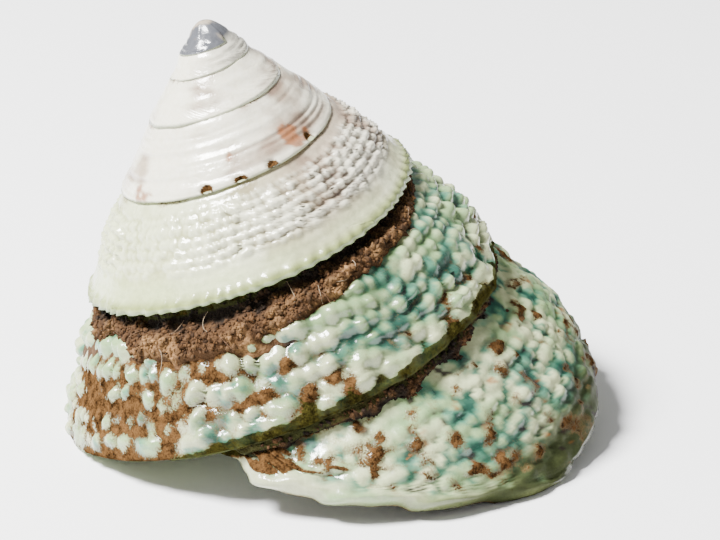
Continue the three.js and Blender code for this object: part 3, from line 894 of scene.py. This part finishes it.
def add_crumbs(surface):
    """Loose grains, small lumps of eight faces, on the soil and where it thins out."""
    random = np.random.default_rng(71)
    corners = np.array([[1, 0, 0], [-1, 0, 0], [0, 1, 0], [0, -1, 0], [0, 0, 1], [0, 0, -1]], float)
    faces = np.array([[0, 2, 4], [2, 1, 4], [1, 3, 4], [3, 0, 4], [2, 0, 5], [1, 2, 5], [3, 1, 5], [0, 3, 5]])
    turn = random.uniform(-1.6, -0.02, GRAIN_TRIES)
    along = random.beta(1.4, 2.0, GRAIN_TRIES) * 0.42
    plain = plain_flank(turn, along)
    level = soil_level(turn, along, plain)
    flank = swell(turn, along) * flank_width(turn)
    kept = (level > flank - 0.12) & (turn < flank_lag(along) - 0.02)
    turn, along, level, plain = turn[kept], along[kept], level[kept], plain[kept]
    height = np.maximum(level, flank[kept]) + 0.04
    centres = over_flank(turn, along, height)
    size = random.gamma(3.0, 0.055, len(centres)).clip(0.06, 0.42)
    stretch = random.uniform(0.6, 1.2, (len(centres), 1, 3))
    jitter = random.uniform(0.75, 1.25, (len(centres), 6, 1))
    shapes = corners[None] * stretch * jitter * size[:, None, None]
    axis = random.normal(size=(len(centres), 3))
    axis /= np.linalg.norm(axis, axis=1)[:, None]
    angle = random.uniform(0, np.pi, len(centres))[:, None, None]
    cross = np.cross(axis[:, None, :], shapes)
    along_axis = (shapes @ axis[:, :, None]) * axis[:, None, :]
    shapes = shapes * np.cos(angle) + cross * np.sin(angle) + along_axis * (1 - np.cos(angle))
    shade = random.uniform(0.5, 1.5, len(centres))[:, None]
    tone = np.clip(soil_tone(plain, height) * shade, 0, 1)
    numbers = surface.add(centres[:, None, :] + shapes, tone[:, None, :], 1.0)
    surface.faces.extend(numbers[:, faces].reshape(-1, 3).tolist())


def add_fibres(surface):
    """A few root hairs lie across the soil."""
    random = np.random.default_rng(72)
    for _ in range(HAIR_COUNT):
        turn, along = random.uniform(-1.25, -0.92), random.uniform(0.05, 0.3)
        heading, bend = random.uniform(0, 2 * np.pi), random.uniform(-2, 2)
        length, thickness = random.uniform(1.0, 2.4), random.uniform(0.02, 0.04)
        share = np.linspace(0, 1, 9)
        course = heading + bend * share
        step = length / 8
        sideways = np.cumsum(np.cos(course)) * step
        down = np.cumsum(np.sin(course)) * step
        turns = turn + sideways / (2 * np.pi * rim_at(turn)[0])
        alongs = np.clip(along + down / flank_width(turn), 0.02, 0.42)
        flank = swell(turns, alongs) * flank_width(turns)
        level = np.maximum(soil_level(turns, alongs, plain_flank(turns, alongs)), flank)
        level = level + 0.12 + 0.25 * np.sin(np.pi * share)
        line = over_flank(turns, alongs, level)
        forward = np.gradient(line, axis=0)
        forward /= np.linalg.norm(forward, axis=1)[:, None]
        side = np.cross(forward, [0, 0, 1.0])
        side /= np.linalg.norm(side, axis=1)[:, None]
        upward = np.cross(side, forward)
        angles = np.linspace(0, 2 * np.pi, 5, endpoint=False)[None, :, None]
        ring = line[:, None] + thickness * (np.cos(angles) * side[:, None] + np.sin(angles) * upward[:, None])
        tone = layered(HAIR_BROWN, (HAIR_PALE, random.uniform() ** 2))
        numbers = surface.add(ring, tone, 1.0)
        surface.grid(np.column_stack([numbers, numbers[:, 0]]))


# Materials

SOIL_DARK = (0.008, 0.004, 0.0015)
SOIL_LIGHT = (0.112, 0.056, 0.021)
SOIL_STAIN = (0.14, 0.085, 0.035)
MOSS_DARK = (0.006, 0.005, 0.0015)
MOSS_LIGHT = (0.036, 0.036, 0.007)
SOIL_MOSS = (0.03, 0.034, 0.004)
FLOOR_WHITE = (0.85, 0.85, 0.85)


class Graph:
    """A new material, its nodes and its shader's sockets."""

    def __init__(self, name):
        self.material = bpy.data.materials.new(name)
        self.material.use_nodes = True
        self.nodes = self.material.node_tree.nodes
        self.shader = self.nodes["Principled BSDF"].inputs

    def feed(self, slot, value):
        """Give a socket a number, a colour or another node's output."""
        if isinstance(value, (int, float)):
            slot.default_value = value
        elif isinstance(value, tuple):
            slot.default_value = (*value, 1.0)
        else:
            self.material.node_tree.links.new(value, slot)

    def attribute(self, name, output="Fac"):
        node = self.nodes.new("ShaderNodeAttribute")
        node.attribute_name = name
        return node.outputs[output]

    def noise(self, grain, detail=3.0):
        """Noise in grains of the given size in millimetres."""
        coordinates = self.nodes.get("Texture Coordinate") or self.nodes.new("ShaderNodeTexCoord")
        node = self.nodes.new("ShaderNodeTexNoise")
        self.feed(node.inputs["Vector"], coordinates.outputs["Object"])
        self.feed(node.inputs["Scale"], 1 / (grain * MM))
        self.feed(node.inputs["Detail"], detail)
        return node.outputs["Fac"]

    def math(self, operation, *values):
        node = self.nodes.new("ShaderNodeMath")
        node.operation = operation
        for slot, value in zip(node.inputs, values):
            self.feed(slot, value)
        return node.outputs[0]

    def spread(self, value, low, high, to_low=0.0, to_high=1.0):
        """The stretch of a value from low to high, eased into another stretch."""
        node = self.nodes.new("ShaderNodeMapRange")
        node.interpolation_type = "SMOOTHSTEP"
        labels = ("Value", "From Min", "From Max", "To Min", "To Max")
        for label, given in zip(labels, (value, low, high, to_low, to_high)):
            self.feed(node.inputs[label], given)
        return node.outputs["Result"]

    def greys(self, value):
        """A grey that follows a value, for overlaying."""
        node = self.nodes.new("ShaderNodeValToRGB")
        for stop, place, grey in zip(node.color_ramp.elements, (0.3, 0.7), (0.36, 0.64)):
            stop.position = place
            stop.color = (grey, grey, grey, 1)
        self.feed(node.inputs["Fac"], value)
        return node.outputs["Color"]

    def blend(self, share, first, second, mode="MIX"):
        """Two colours, mixed. The node has several sockets of a name, and the colour's is picked."""
        node = self.nodes.new("ShaderNodeMix")
        node.data_type = "RGBA"
        node.blend_type = mode
        self.feed(node.inputs[0], share)
        for label, value in (("A", first), ("B", second)):
            slot = next(slot for slot in node.inputs if slot.name == label and slot.type == "RGBA")
            self.feed(slot, value)
        return next(slot for slot in node.outputs if slot.type == "RGBA")

    def frayed(self, value, grain, reach):
        """A value with noise added, which frays its edges."""
        return self.math("ADD", value, self.math("MULTIPLY_ADD", grain, reach, -reach / 2))

    def bump(self, height, distance, strength=1.0):
        """A bumpy normal, with the distance in millimetres."""
        node = self.nodes.new("ShaderNodeBump")
        self.feed(node.inputs["Distance"], distance * MM)
        self.feed(node.inputs["Strength"], strength)
        self.feed(node.inputs["Height"], height)
        return node.outputs["Normal"]

    def finish(self, values):
        """Feed the shader's sockets, by their names, and return the material."""
        for label, value in values.items():
            self.feed(self.shader[label], value)
        return self.material


def shell_material():
    """Glazed shell, with soil and moss over it where their attributes say."""
    graph = Graph("shell_glaze")
    fine, grain, cloud = graph.noise(0.5), graph.noise(0.16, 2.0), graph.noise(1.6)
    shade = graph.blend(0.35, graph.attribute("paint", "Color"), graph.greys(fine), "OVERLAY")

    # Soil and moss with frayed edges
    dirt_raw = graph.frayed(graph.frayed(graph.attribute("dirt"), grain, 0.5), fine, 0.5)
    dirt = graph.spread(dirt_raw, 0.44, 0.62)
    moss_raw = graph.attribute("moss")
    moss = graph.math("MULTIPLY", graph.spread(graph.frayed(moss_raw, fine, 0.8), 0.42, 0.6), 0.9)
    crumbs = graph.math("ADD", graph.math("MULTIPLY", grain, 0.4),
                        graph.math("MULTIPLY", graph.noise(0.75, 5.0), 0.6))
    soil = graph.blend(graph.spread(crumbs, 0.33, 0.66), SOIL_DARK, SOIL_LIGHT)
    stained = graph.blend(graph.spread(dirt_raw, 0.2, 0.5, 0.0, 0.6), shade, SOIL_STAIN)
    moss_tone = graph.blend(graph.spread(crumbs, 0.35, 0.65), MOSS_DARK, MOSS_LIGHT)
    colour = graph.blend(moss, graph.blend(dirt, stained, soil), moss_tone)

    # Gloss, which soil and moss take away
    film = graph.spread(moss_raw, 0.05, 0.35)
    matt = graph.math("MAXIMUM", graph.math("MULTIPLY", dirt, 0.95), graph.math("MULTIPLY", film, 0.6))
    rough = graph.spread(cloud, 0.35, 0.7, 0.14, 0.34)
    clean = graph.math("SUBTRACT", 1.0, graph.math("MAXIMUM", dirt, film))
    gritty = graph.math("MULTIPLY", grain, graph.spread(dirt, 0.0, 1.0, 0.12, 0.9))
    height = graph.math("ADD", graph.math("MULTIPLY", fine, 0.5), gritty)
    return graph.finish({
        "Base Color": colour,
        "Roughness": graph.math("MAXIMUM", rough, matt),
        "Specular IOR Level": graph.math("MULTIPLY", clean, 0.5),
        "Coat Weight": graph.math("MULTIPLY", clean, 0.4),
        "Coat Roughness": 0.08,
        "Normal": graph.bump(height, 0.12, 0.8),
    })


def soil_material():
    graph = Graph("packed_soil")
    grain, fine = graph.noise(0.22, 4.0), graph.noise(0.7)
    shade = graph.blend(0.7, graph.attribute("paint", "Color"), graph.greys(grain), "OVERLAY")
    moss = graph.spread(graph.frayed(graph.attribute("moss"), fine, 0.8), 0.4, 0.7)
    colour = graph.blend(graph.math("MULTIPLY", moss, 0.75), shade, SOIL_MOSS)
    return graph.finish({"Base Color": colour, "Roughness": 0.9, "Specular IOR Level": 0.25,
                         "Normal": graph.bump(grain, 0.25)})


# Pieces

def new_object(name, data):
    thing = bpy.data.objects.new(name, data)
    bpy.context.collection.objects.link(thing)
    return thing


def add_piece(name, mesh, material, node):
    piece = new_object(name, mesh)
    mesh.materials.append(material)
    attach(piece, "root")
    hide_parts(node)


add_piece("shell_surface", shell_mesh(), shell_material(), "shell")
add_piece("soil_crumbs", soil_mesh(), soil_material(), "suture_soil")


# The floor and the light, in metres and watts

FLOOR_REACH = 3.0
FLOOR_DROP = 0.02 * MM
KEY_PLACE = (-0.29, -0.06, 0.45)
KEY_AIM = (0, 0, 0.015)
KEY_SIZE = 0.20
KEY_POWER = 17
WORLD_STRENGTH = 0.45

# Where the camera stands, in degrees and millimetres, and its focal length in the photograph's pixels
CAMERA_AZIMUTH = 1.87
CAMERA_ELEVATION = 21.04
CAMERA_ROLL = -1.33
CAMERA_AIM = (3.03, 0, 13.81)
CAMERA_DISTANCE = 313.1
CAMERA_FOCAL = 3521
SENSOR_WIDTH = 36


def add_floor():
    corners = [(x * FLOOR_REACH, y * FLOOR_REACH, 0) for x, y in ((-1, -1), (1, -1), (1, 1), (-1, 1))]
    mesh = bpy.data.meshes.new("floor")
    mesh.from_pydata(corners, [], [(0, 1, 2, 3)])
    mesh.materials.append(Graph("floor_paper").finish({"Base Color": FLOOR_WHITE, "Roughness": 0.9}))
    floor = new_object("floor", mesh)
    floor.location.z = -FLOOR_DROP


def add_key_light():
    data = bpy.data.lights.new("key", "AREA")
    data.shape = "DISK"
    data.size = KEY_SIZE
    data.energy = KEY_POWER
    light = new_object("key", data)
    light.location = KEY_PLACE
    light.rotation_euler = (Vector(KEY_AIM) - Vector(KEY_PLACE)).to_track_quat("-Z", "Y").to_euler()


def add_world():
    world = bpy.data.worlds.new("studio")
    world.use_nodes = True
    background = world.node_tree.nodes["Background"]
    background.inputs["Color"].default_value = (1, 1, 1, 1)
    background.inputs["Strength"].default_value = WORLD_STRENGTH
    bpy.context.scene.world = world


def add_camera():
    azimuth, elevation = math.radians(CAMERA_AZIMUTH), math.radians(CAMERA_ELEVATION)
    forward = Vector((math.sin(azimuth) * math.cos(elevation), math.cos(azimuth) * math.cos(elevation),
                      -math.sin(elevation)))
    data = bpy.data.cameras.new("camera")
    data.sensor_width = SENSOR_WIDTH
    data.lens = CAMERA_FOCAL * SENSOR_WIDTH / PHOTO_WIDTH
    data.clip_start = 0.01
    camera = new_object("camera", data)
    camera.location = (Vector(CAMERA_AIM) - forward * CAMERA_DISTANCE) * MM
    level = forward.to_track_quat("-Z", "Y").to_matrix()
    rolled = level @ Matrix.Rotation(math.radians(CAMERA_ROLL), 3, "Z")
    camera.rotation_euler = rolled.to_euler()
    bpy.context.scene.camera = camera


add_floor()
add_key_light()
add_world()
add_camera()
